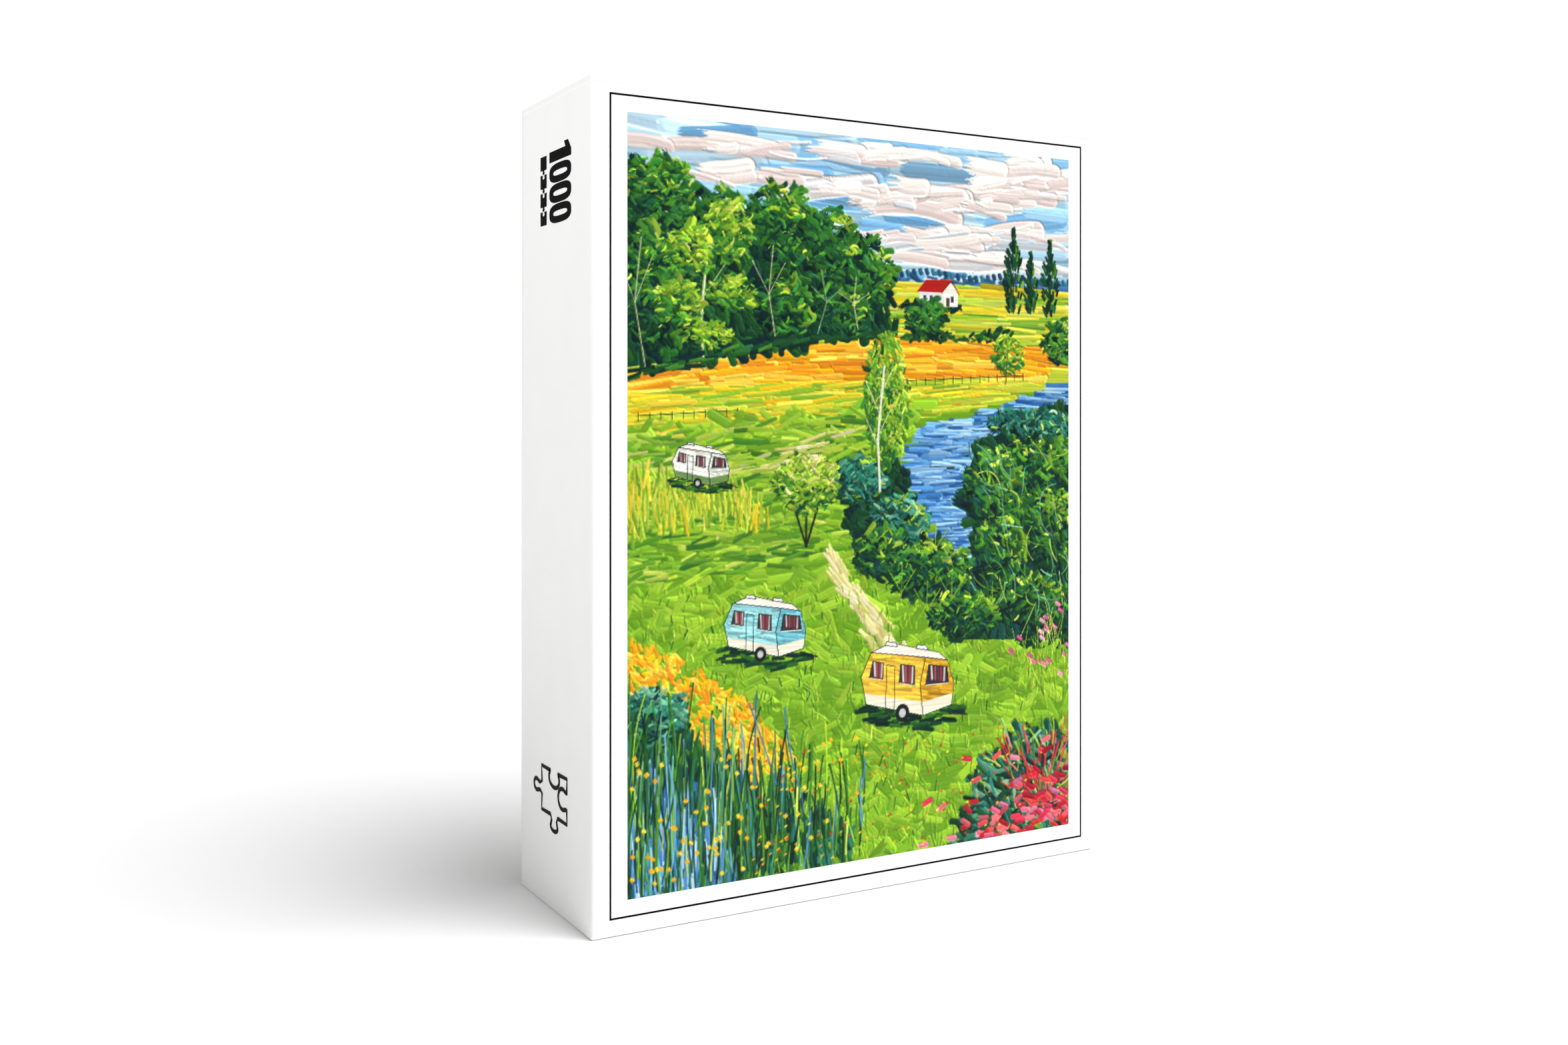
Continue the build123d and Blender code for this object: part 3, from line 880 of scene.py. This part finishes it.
def pieceLook(name):
    # one side of each piece is printed, the other is bare, and the cut edge shows the board
    paint = Paint(name, IOR=1.45)
    place = paint.place()
    x, y, z = paint.parts(place)
    column = (x + slots["width"] / 2) // slots["width"]
    row = (z - slots["foot"]) // slots["height"]
    layer = (y - slots["front"]) // slots["pitch"]
    cell = paint.vector(column, layer, row)
    luck = paint.add("ShaderNodeTexWhiteNoise", {"noise_dimensions": "3D"}, {"Vector": cell})
    moved = paint.add("ShaderNodeVectorMath", {"operation": "ADD"}, {0: cell, 1: (17.0, 31.0, 5.0)})
    other = paint.add("ShaderNodeTexWhiteNoise", {"noise_dimensions": "3D"}, {"Vector": moved})
    nx, ny, nz = paint.parts(paint.add("ShaderNodeNewGeometry", output="True Normal"))
    towards = ny.rise(-0.02, 0.02)
    printed = abs(luck.above(0.5) - towards)
    daub = paint.noise(paint.stretch(place, (1, 0, 2.6)), 190, 3, 0.6, 0.7)
    blot = paint.noise(paint.stretch(place, (1.3, 0, 1)), 70, 2, 0.5, 0.4)
    for n, (first, second) in enumerate(slots["shades"]):
        two = paint.mix(daub.rise(0.4, 0.6), tint(first), tint(second))
        colour = two if n == 0 else paint.mix(other.above(n / len(slots["shades"])), colour, two)
    colour = paint.mix(blot.rise(0.56, 0.66) * 0.75, colour, tint("#f0d23c"))
    fibres = paint.noise(place, 1300, 3, 0.65, 0.5)
    back = paint.mix(fibres.rise(0.35, 0.75), tint("#8f9aa0"), tint("#a9b0b0"))
    edge = paint.mix(fibres.rise(0.35, 0.75), tint("#7d776c"), tint("#9a9386"))
    flat = abs(ny).rise(0.5, 0.7)
    face = paint.mix(printed, back, colour)
    paint.put(
        Base_Color=paint.mix(flat, edge, face),
        Roughness=0.8 - 0.35 * printed * flat,
        Normal=paint.bump(fibres * (1.0 - 0.7 * printed) + daub * 0.8 * printed, 0.00005, 0.5),
    )
    return paint.material


def floorLook(name):
    paint = Paint(name, IOR=1.4)
    place = paint.place()
    cloudy = paint.noise(place, 3, 3)
    paint.put(
        Base_Color=paint.mix(cloudy, (0.93, 0.93, 0.93, 1), (0.95, 0.95, 0.95, 1)),
        Roughness=0.85 + 0.08 * paint.noise(place, 40, 3),
    )
    return paint.material


# mesh helpers


def meshObject(name, points, faces, material, smooth=True):
    mesh = bpy.data.meshes.new(name)
    mesh.from_pydata(np.asarray(points).tolist(), [], [list(map(int, f)) for f in faces])
    mesh.materials.append(material)
    mesh.polygons.foreach_set("use_smooth", [smooth] * len(mesh.polygons))
    mesh.update()
    made = bpy.data.objects.new(name, mesh)
    bpy.context.scene.collection.objects.link(made)
    return made


def quads(rows, columns, wrap=False):
    # faces of a grid stored row by row; wrap joins the last column to the first
    spot = np.arange(rows * columns).reshape(rows, columns)
    beside = np.roll(spot, -1, 1) if wrap else spot[:, 1:]
    left = spot if wrap else spot[:, :-1]
    return np.stack([left[:-1], beside[:-1], beside[1:], left[1:]], -1).reshape(-1, 4)


def dress(made, body, slot=None, *stoodFor):
    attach(made, body)
    if stoodFor:
        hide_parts(*stoodFor)
    return made


def roundedLoop(halfWidth, halfHeight, radius, along=28, upward=36, turn=7):
    # points around a rounded rectangle, always the same number of them
    radius = max(radius, 0.00002)
    corners = [(1, 1, 0), (-1, 1, 1), (-1, -1, 2), (1, -1, 3)]
    points = []
    for n, (sx, sz, quarter) in enumerate(corners):
        cx, cz = sx * (halfWidth - radius), sz * (halfHeight - radius)
        for k in range(turn + 1):
            angle = math.pi / 2 * (quarter + k / turn)
            points.append((cx + radius * math.cos(angle), cz + radius * math.sin(angle)))
        nx, nz = corners[(n + 1) % 4][:2]
        ahead = math.pi / 2 * (quarter + 1)
        goalX = nx * (halfWidth - radius) + radius * math.cos(ahead)
        goalZ = nz * (halfHeight - radius) + radius * math.sin(ahead)
        steps = along if quarter % 2 == 0 else upward
        x, z = points[-1]
        points += [(x + (goalX - x) * k / steps, z + (goalZ - z) * k / steps) for k in range(1, steps)]
    return np.array(points)


def wobble(points, reach, scale, seed):
    return np.array([noise.noise(Vector(p) * scale + Vector((seed, 0, 0))) for p in points]) * reach


# wraps

wraps = {
    "lid": {
        "node": "lid_wrap", "slot": "lid_paper", "edge": 0.0011, "bow": 0.00011, "lift": 0.00003,
        "seed": 3,
    },
    "tray": {
        "node": "tray_wrap", "slot": "tray_paper", "edge": 0.0010, "bow": 0.00011, "lift": 0.00001,
        "seed": 8,
    },
}
wall = {
    "thick": 0.0019,
    "paper": 0.0002,
    "turnIn": 0.0182,
    "rimRound": 0.0006,
    "corner": 0.0008,
    "held": 0.004,
    "stiff": 0.045,
    "panelRings": (0.014, 0.004),
}


def wrapShell(name, spec, panel, rim, material):
    # the paper as a closed profile swept round the box: panel, wall, over the rim, turned in
    low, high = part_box(spec["node"])
    halfWidth, halfHeight = (high.x - low.x) / 2 - spec["lift"], (high.z - low.z) / 2 - spec["lift"]
    middle = (high.z + low.z) / 2
    inward = math.copysign(1, panel - rim)
    deep, edge, rr, thick = abs(panel - rim), spec["edge"], wall["rimRound"], wall["thick"]
    profile = [(inset, spec["lift"]) for inset in wall["panelRings"]]
    for k in range(7):
        a = math.pi / 2 * k / 6
        profile.append((edge - edge * math.sin(a), spec["lift"] + edge - edge * math.cos(a)))
    profile += [(0.0, edge + (deep - edge - rr) * k / 16) for k in range(1, 16)]
    bends = np.linspace(0, math.pi / 2, 5)
    profile += [(rr - rr * math.cos(a), deep - rr + rr * math.sin(a)) for a in bends]
    profile += [(thick - rr + rr * math.sin(a), deep - rr + rr * math.cos(a)) for a in bends]
    profile += [(thick, deep - rr - (wall["turnIn"] - rr) * k / 5) for k in range(1, 6)]
    profile += [(thick - wall["paper"], deep - wall["turnIn"])]
    rings = []
    for inset, depth in profile:
        loop = roundedLoop(halfWidth - inset, halfHeight - inset, wall["corner"] - inset)
        y = panel - inward * depth
        ring = np.column_stack([loop[:, 0], np.full(len(loop), y), loop[:, 1] + middle])
        slack = math.sin(math.pi * min(max((depth - edge) / (deep - edge), 0), 1)) if depth > edge else 0
        if slack > 0.01:
            # the walls lean in a little between the corners, which the board and tape hold
            near = np.array([halfWidth, halfHeight]) - abs(loop)
            free = ramp(wall["held"], wall["stiff"], np.maximum(near[:, 0], near[:, 1]))
            sag = spec["bow"] * slack * free * (0.55 + wobble(ring, 0.45, 9, spec["seed"]))
            ring[:, 0] -= np.sign(loop[:, 0]) * sag * (near[:, 0] < wall["held"])
            ring[:, 2] -= np.sign(loop[:, 1]) * sag * (near[:, 1] < wall["held"])
        rings.append(ring)
    count = len(rings[0])
    faces = quads(len(rings), count, wrap=True)
    if inward > 0:
        faces = faces[:, ::-1]
    cap = list(range(count))
    made = meshObject(name, np.concatenate(rings), [*faces, cap if inward > 0 else cap[::-1]], material)
    bm = bmesh.new()
    bm.from_mesh(made.data)
    bmesh.ops.recalc_face_normals(bm, faces=bm.faces)
    bm.to_mesh(made.data)
    bm.free()
    return dress(made, name.split("_")[0], spec["slot"], spec["node"])


# black print

lidPrint = {
    "keyline": {"inset": 0.0062, "insetEnd": 0.0057, "width": 0.00064},
    "numeral": {
        "text": "1000", "front": 0.018, "tall": 0.0205, "height": 0.2487, "pitch": 0.0069, "wide": 0.0066
    },
    "icons": {"front": 0.0412, "tall": 0.0060, "height": 0.2475, "pitch": 0.0064, "wide": 0.0048},
    "badge": {"front": 0.034, "height": 0.040, "wide": 0.0165, "tall": 0.025, "line": 0.0015},
}


def pieceOutline(wide, tall, knobs, steps=9):
    # outline of a generic jigsaw piece around the middle; knobs for the lower, right, upper and left side
    x, y = wide / 2, tall / 2
    corners = [(-x, -y), (x, -y), (x, y), (-x, y)]
    points = []
    for n in range(4):
        (ax, ay), (bx, by) = corners[n], corners[(n + 1) % 4]
        dx, dy = bx - ax, by - ay
        # reach is measured on the shorter side, stretched as the piece is
        outX, outY = (math.copysign(1, dy) * wide, 0) if abs(dx) < 1e-9 else (
            0, -math.copysign(1, dx) * tall
        )
        points.append((ax, ay))
        if knobs[n]:
            turns = np.linspace(-0.5, math.pi + 0.5, steps * 2)
            knob = [(0.5 - 0.165 * math.cos(a), 0.18 + 0.135 * math.sin(a)) for a in turns]
            foot = [(0.36, 0.0), (0.375, 0.05)]
            spots = foot + knob + [(1 - a, b) for a, b in foot][::-1]
            points += [
                (ax + dx * a + outX * b * knobs[n], ay + dy * a + outY * b * knobs[n]) for a, b in spots
            ]
    return np.array(points)


def shrunkLoop(points, by):
    # the same outline taken in along its normals
    before, after = np.roll(points, 1, 0), np.roll(points, -1, 0)
    run = after - before
    run /= np.linalg.norm(run, axis=1)[:, None]
    return points + np.column_stack([-run[:, 1], run[:, 0]]) * by


def digitLoops(digit, wide, tall):
    if digit == "1":
        stem = [
            (0.36, 0.0), (0.92, 0.0), (0.92, 1.0), (0.56, 1.0), (0.06, 0.86), (0.06, 0.68), (0.36, 0.74)
        ]
        return [np.array([(wide * (a - 0.5), tall * (b - 0.5)) for a, b in stem])]
    turn = np.linspace(0, 2 * math.pi, 49)[:-1]
    loops = []
    for half, high, power in ((0.5, 0.5, 0.68), (0.14, 0.32, 0.72)):
        c, s = np.cos(turn), np.sin(turn)
        loops.append(
            np.column_stack([
                np.sign(c) * abs(c) ** power * half * wide,
                np.sign(s) * abs(s) ** power * high * tall,
            ])
        )
    return loops


def buildPrint(material):
    low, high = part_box("lid_wrap")
    points, faces = [], []

    def addLoops(loops, at):
        # one outline is filled, two are joined as a ring
        start = len(points)
        for loop in loops:
            points.extend(at(a, b) for a, b in loop)
        count = len(loops[0])
        if len(loops) == 1:
            faces.append(list(range(start, start + count)))
        else:
            faces.extend(
                [start + k, start + (k + 1) % count, start + count + (k + 1) % count, start + count + k]
                for k in range(count)
            )

    key = lidPrint["keyline"]
    frameLoops = []
    for grow in (0, key["width"]):
        x, z = high.x - key["inset"] - grow, (high.z - low.z) / 2 - key["insetEnd"] - grow
        frameLoops.append(np.array([(-x, -z), (x, -z), (x, z), (-x, z)]))
    addLoops(frameLoops, lambda a, b: (a, low.y, b + (high.z + low.z) / 2))

    def spot(side, front, height):
        # text runs down the left side and up the right one, its top always towards the picture
        face = low.x if side < 0 else high.x
        return lambda a, b: (face, low.y + front - b, height + side * a)

    number, icons, badge = lidPrint["numeral"], lidPrint["icons"], lidPrint["badge"]
    outline = pieceOutline(badge["wide"], badge["tall"], (1, 1, -1, -1), 12)
    for side in (-1, 1):
        for n, digit in enumerate(number["text"]):
            height = number["height"] + side * (n - 1.5) * number["pitch"]
            at = spot(side, number["front"] + number["tall"] / 2, height)
            addLoops(digitLoops(digit, number["wide"], number["tall"]), at)
        for n in range(4):
            # a short chain of plain jigsaw pieces
            height = icons["height"] + side * (n - 1.5) * icons["pitch"]
            at = spot(side, icons["front"] + icons["tall"] / 2, height)
            addLoops([pieceOutline(icons["wide"], icons["tall"], (0, n < 3, 0, -(n > 0)))], at)
        addLoops([outline, shrunkLoop(outline, badge["line"])], spot(side, badge["front"], badge["height"]))

    made = meshObject("lid_print", points, faces, material, smooth=False)
    bm = bmesh.new()
    bm.from_mesh(made.data)
    for face in bm.faces:
        middle = face.calc_center_median()
        out = Vector((0, -1, 0)) if abs(face.normal.y) > 0.5 else Vector((math.copysign(1, middle.x), 0, 0))
        if face.normal.dot(out) < 0:
            face.normal_flip()
    bmesh.ops.triangulate(bm, faces=[f for f in bm.faces if len(f.verts) > 4])
    bm.to_mesh(made.data)
    bm.free()
    return dress(made, "lid", "lid_paper")


# picture and sheet


def paintMesh(made, colours):
    layer = made.data.color_attributes.new("paint", "FLOAT_COLOR", "POINT")
    linear = np.where(colours < 0.04045, colours / 12.92, ((colours + 0.055) / 1.055) ** 2.4)
    flat = np.concatenate([linear.reshape(-1, 3), np.ones((linear.size // 3, 1))], 1)
    layer.data.foreach_set("color", flat.astype(np.float32).ravel())


def planeMap(made, u, v):
    layer = made.data.uv_layers.new(name="OFBake")
    corner = np.zeros(len(made.data.loops), np.int32)
    made.data.loops.foreach_get("vertex_index", corner)
    layer.data.foreach_set("uv", np.column_stack([u[corner], v[corner]]).astype(np.float32).ravel())


def buildPicture(art, material):
    low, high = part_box("lid_wrap")
    rows, columns = art.shape[:2]
    x = np.linspace(-0.5, 0.5, columns) * picture["width"]
    z = np.linspace(0.5, -0.5, rows) * picture["height"] + (high.z + low.z) / 2
    gx, gz = np.meshgrid(x, z)
    points = np.column_stack([gx.ravel(), np.full(gx.size, low.y), gz.ravel()])
    faces = quads(rows, columns)[:, ::-1]
    made = meshObject("lid_picture", points, faces, material)
    paintMesh(made, art)
    planeMap(made, gx.ravel() / picture["width"] + 0.5, (gz.ravel() - z[-1]) / picture["height"])
    return dress(made, "lid", "lid_paper")


sheet = {
    "width": 0.350,
    "length": 0.490,
    "step": 0.0006,
    "pitch": 0.0011,
    "margin": 0.006,
    "wave": 0.00022,
}


def buildSheet(art, material):
    # a grid over the flat sheet, folded once across and once down, as in the CAD piece
    low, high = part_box("picture_sheet")
    step, bend = sheet["step"], 9
    front = low.y + 0.0001
    halfCols = round(sheet["width"] / 2 / sheet["pitch"])
    halfRows = round(sheet["length"] / 2 / sheet["pitch"])
    right, left = high.x - 0.0001 - step / 2, low.x
    foot = low.z + 0.0001 + 1.5 * step
    across = []
    for share in np.linspace(0, 1, halfCols):
        across.append((left + (right - left) * share, 0.0, share / 2))
    for k in range(1, bend):
        a = math.pi * k / bend
        across.append((right + step / 2 * math.sin(a), step / 2 * (1 - math.cos(a)), 0.5))
    for share in np.linspace(1, 0, halfCols):
        across.append((left + (right - left) * share, step, 1 - share / 2))
    across = np.array(across)
    points, shares = [], []
    down = [(share, None) for share in np.linspace(0, 1, halfRows)]
    down += [(1, math.pi * k / bend) for k in range(1, bend)]
    down += [(share, math.pi) for share in np.linspace(1, 0, halfRows)]
    for share, turn in down:
        z = high.z - (high.z - foot) * share
        offset = across[:, 1]
        if turn is None:
            y, lift, v = front + offset, np.full(len(across), z), share / 2
        else:
            radius = 1.5 * step - offset
            y = front + 1.5 * step - radius * math.cos(turn)
            lift = z - radius * math.sin(turn) * (share == 1)
            v = 1 - share / 2 if turn == math.pi else 0.5
        points.append(np.column_stack([across[:, 0], y, lift]))
        shares.append(np.column_stack([across[:, 2], np.full(len(across), v)]))
    points, shares = np.concatenate(points), np.concatenate(shares)
    # all four leaves wave together, so that none goes through another
    flat = points.copy()
    flat[:, 1] = 0
    points[:, 1] += abs(wobble(flat, sheet["wave"], 14, 5)) * np.clip((points[:, 2] - foot) / 0.02, 0, 1)
    rows, columns = len(down), len(across)
    made = meshObject("picture_sheet_print", points, quads(rows, columns)[:, ::-1], material)
    border = sheet["margin"] / sheet["width"], sheet["margin"] / sheet["length"]
    u = (shares[:, 0] - border[0]) / (1 - 2 * border[0])
    v = (shares[:, 1] - border[1]) / (1 - 2 * border[1])
    inside = (u >= 0) & (u <= 1) & (v >= 0) & (v <= 1)
    colours = np.full((len(points), 3), 0.95)
    row = np.clip(v * (art.shape[0] - 1), 0, art.shape[0] - 1).astype(int)
    column = np.clip(u * (art.shape[1] - 1), 0, art.shape[1] - 1).astype(int)
    colours[inside] = art[row, column][inside]
    paintMesh(made, colours)
    dress(made, "sheet", "sheet_paper", "picture_sheet")
    return made


# bag

bag = {
    "fineness": 1.0,
    "corner": 0.003,
    "shoulder": 0.1552,
    "neck": 0.2000,
    "sealDepth": 0.0005,
    "cling": 0.00035,
    "crumple": 0.0042,
    "narrowing": 0.003,
    "sealRib": 0.00018,
    "ribPitch": 0.0008,
}


def buildBag(material):
    low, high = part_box("piece_bag")
    halfWidth, halfDepth = (high.x - low.x) / 2, (high.y - low.y) / 2
    middle = (high.y + low.y) / 2
    fine = bag["fineness"]
    levels = []
    for k in range(6):
        a = math.pi / 2 * (1 - k / 5)
        r = bag["corner"]
        levels.append((low.z + r - r * math.sin(a), r - r * math.cos(a), 0.0))
    levels += [(z, 0.0, 0.0) for z in np.linspace(low.z + bag["corner"], bag["shoulder"], int(90 * fine))[1:]]
    for share in np.linspace(0, 1, int(46 * fine))[1:]:
        levels.append((bag["shoulder"] + (bag["neck"] - bag["shoulder"]) * share, 0.0, share))
    levels += [(z, 0.0, 1.0) for z in np.linspace(bag["neck"], high.z, int(16 * fine))[1:]]
    rings = []
    for z, inset, close in levels:
        ease = close**0.8 * (1 - 0.18 * math.sin(close * math.pi))
        depth = halfDepth + (bag["sealDepth"] - halfDepth) * ease
        width = halfWidth - inset - bag["narrowing"] * min(close * 1.2, 1) ** 2
        radius = min(bag["corner"], depth * 0.9)
        loop = roundedLoop(width, max(depth - inset, 0.0004), radius, int(150 * fine), int(34 * fine))
        ring = np.column_stack([loop[:, 0], loop[:, 1] + middle, np.full(len(loop), z)])
        creases = wobble(ring * (1, 1, 0.55), 1.0, 42, 2) + 0.6 * abs(wobble(ring * (1, 1, 0.7), 1.0, 95, 6))
        push = bag["cling"] * np.clip(0.5 + creases, 0, 1)
        if 0 < close < 1:
            slack = math.sin(close * math.pi) ** 0.7 * depth / halfDepth
            push += bag["crumple"] * slack * np.clip(0.35 + creases, 0, 1.4)
        if z > bag["neck"]:
            ring[:, 1] += bag["sealRib"] * (0.5 + 0.5 * np.sin(ring[:, 0] / bag["ribPitch"]))
        else:
            ring[:, 1] -= np.sign(loop[:, 1]) * push * (abs(loop[:, 1]) > depth * 0.5)
            ring[:, 0] -= np.sign(loop[:, 0]) * push * (abs(loop[:, 0]) > width - bag["corner"])
        rings.append(ring)
    count = len(rings[0])
    top = (len(rings) - 1) * count
    faces = [
        *quads(len(rings), count, wrap=True), list(range(count))[::-1], [top + k for k in range(count)]
    ]
    made = meshObject("bag_film", np.concatenate(rings), faces, material)
    return dress(made, "bag", "film", "piece_bag")


# object

lidPaper = coatedPaper("lidPaper", stock["paperWhite"], stock["paperRough"], stock["lidHalf"])
trayPaper = coatedPaper("trayPaper", stock["trayWhite"], stock["trayRough"], stock["trayHalf"])
wrapShell("lid_paper", wraps["lid"], -0.034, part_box("lid_wrap")[1].y, lidPaper)
wrapShell("tray_paper", wraps["tray"], 0.034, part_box("tray_wrap")[0].y, trayPaper)
buildPrint(printInk("blackInk"))
print("wraps and print built")

art = paintPicture(picture)
buildPicture(art, paintedPrint("coverPrint", 0.4, 0.04))
buildSheet(art, paintedPrint("sheetPrint", 0.5, 0.05))
print("picture painted:", art.shape)

boardLook, tapeLook, pieces = greyboard("greyboard"), kraftTape("gummedTape"), pieceLook("puzzleBoard")
for name, node in nodes.items():
    look = boardLook if name.endswith("_board") else tapeLook if name.endswith("_tapes") else pieces
    if name.endswith(("_board", "_tapes", "_pieces")) or name.startswith("inner_"):
        for slot in node.material_slots:
            slot.material = look
buildBag(filmLook("bagFilm"))
print("bag built")

# floor, light and camera

studio = {
    "cameraAt": (-0.2860, -0.4812, 0.1683),
    "turn": 29.41,
    "lens": 34.13,
    "shiftDown": -0.066,
    "sky": 0.275,
    "skySeen": 1.25,
    "window": {"from": (0.40, -0.43, 0.93), "power": 3.4, "spread": 48},
    "softbox": {
        "at": (-0.60, -0.06, 0.48), "aim": (-0.105, 0.0, 0.27), "power": 0.235, "size": 0.3, "spread": 66
    },
}


def buildFloor():
    # one large sheet, a little uneven, with more points near the box
    reach = np.sign(np.linspace(-1, 1, 61)) * np.linspace(-1, 1, 61) ** 2 * 14
    gx, gy = np.meshgrid(reach, reach)
    points = np.column_stack([gx.ravel(), gy.ravel(), np.full(gx.size, -0.00005)])
    floor = meshObject("studio_floor", points, quads(61, 61), floorLook("paleFloor"))


def buildStudio():
    scene = bpy.context.scene
    scene.view_settings.view_transform = "Standard"
    world = bpy.data.worlds.new("softWhite")
    world.use_nodes = True
    scene.world = world
    tree = world.node_tree
    glow = tree.nodes["Background"]
    seen = tree.nodes.new("ShaderNodeLightPath")
    power = tree.nodes.new("ShaderNodeMix")
    power.inputs[2].default_value = studio["sky"]
    power.inputs[3].default_value = studio["skySeen"]
    tree.links.new(seen.outputs["Is Camera Ray"], power.inputs[0])
    tree.links.new(power.outputs[0], glow.inputs["Strength"])
    glow.inputs["Color"].default_value = (1, 1, 1, 1)

    for name, kind, start, end in (
        ("window", "SUN", studio["window"]["from"], (0, 0, 0)),
        ("softbox", "AREA", studio["softbox"]["at"], studio["softbox"]["aim"]),
    ):
        bulb = bpy.data.lights.new(name, kind)
        bulb.energy = studio[name]["power"]
        spread = math.radians(studio[name]["spread"])
        if kind == "SUN":
            bulb.angle = spread
        else:
            bulb.spread = spread
            bulb.size = studio[name]["size"]
        lamp = bpy.data.objects.new(name, bulb)
        lamp.location = start
        lamp.rotation_euler = (Vector(start) - Vector(end)).to_track_quat("Z", "Y").to_euler()
        lamp.visible_camera = False
        scene.collection.objects.link(lamp)

    lens = bpy.data.cameras.new("cover_view")
    lens.lens = studio["lens"]
    lens.sensor_width = 36
    lens.shift_y = studio["shiftDown"]
    lens.clip_start = 0.01
    lens.clip_end = 60
    camera = bpy.data.objects.new("cover_view", lens)
    camera.location = studio["cameraAt"]
    camera.rotation_euler = (math.radians(90), 0, -math.radians(studio["turn"]))
    scene.collection.objects.link(camera)
    scene.camera = camera


buildFloor()
buildStudio()
print("studio set")
